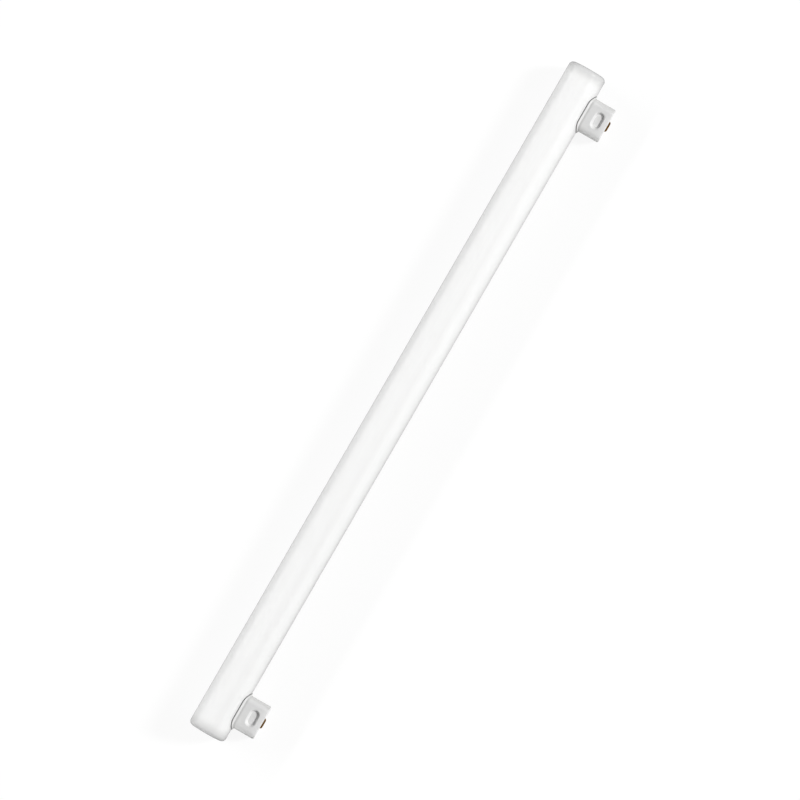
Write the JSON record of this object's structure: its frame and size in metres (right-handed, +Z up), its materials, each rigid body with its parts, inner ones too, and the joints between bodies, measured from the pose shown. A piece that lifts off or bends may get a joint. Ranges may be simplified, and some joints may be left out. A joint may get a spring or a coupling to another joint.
{
  "type": "tubular light bulb",
  "caption": "Slim closed opal glass tube with a white side cap near each end, each cap with latch recesses and a flat brass contact, giving an even line of light.",
  "frame": {"origin": "on the surface that the lamp lies on, under the middle of the lamp's box", "axes": "+X along the tube, +Z up, the caps point to -Y and are tipped down until they touch the surface"},
  "size_m": [0.5, 0.0428, 0.0265],
  "materials": {
    "opal_glass": "smooth opal glass, white all through",
    "cap_plastic": "fine satin moulding",
    "seal_silicone": "matt",
    "contact_brass": "rolled, dulled in air",
    "lead_wire": "tinned copper"
  },
  "bodies": {
    "root": {"tube": "opal_glass", "left_cap": "cap_plastic", "left_seal": "seal_silicone", "left_contact": "contact_brass", "left_lead": "lead_wire", "right_cap": "cap_plastic", "right_seal": "seal_silicone", "right_contact": "contact_brass", "right_lead": "lead_wire"}
  },
  "joints": []
}
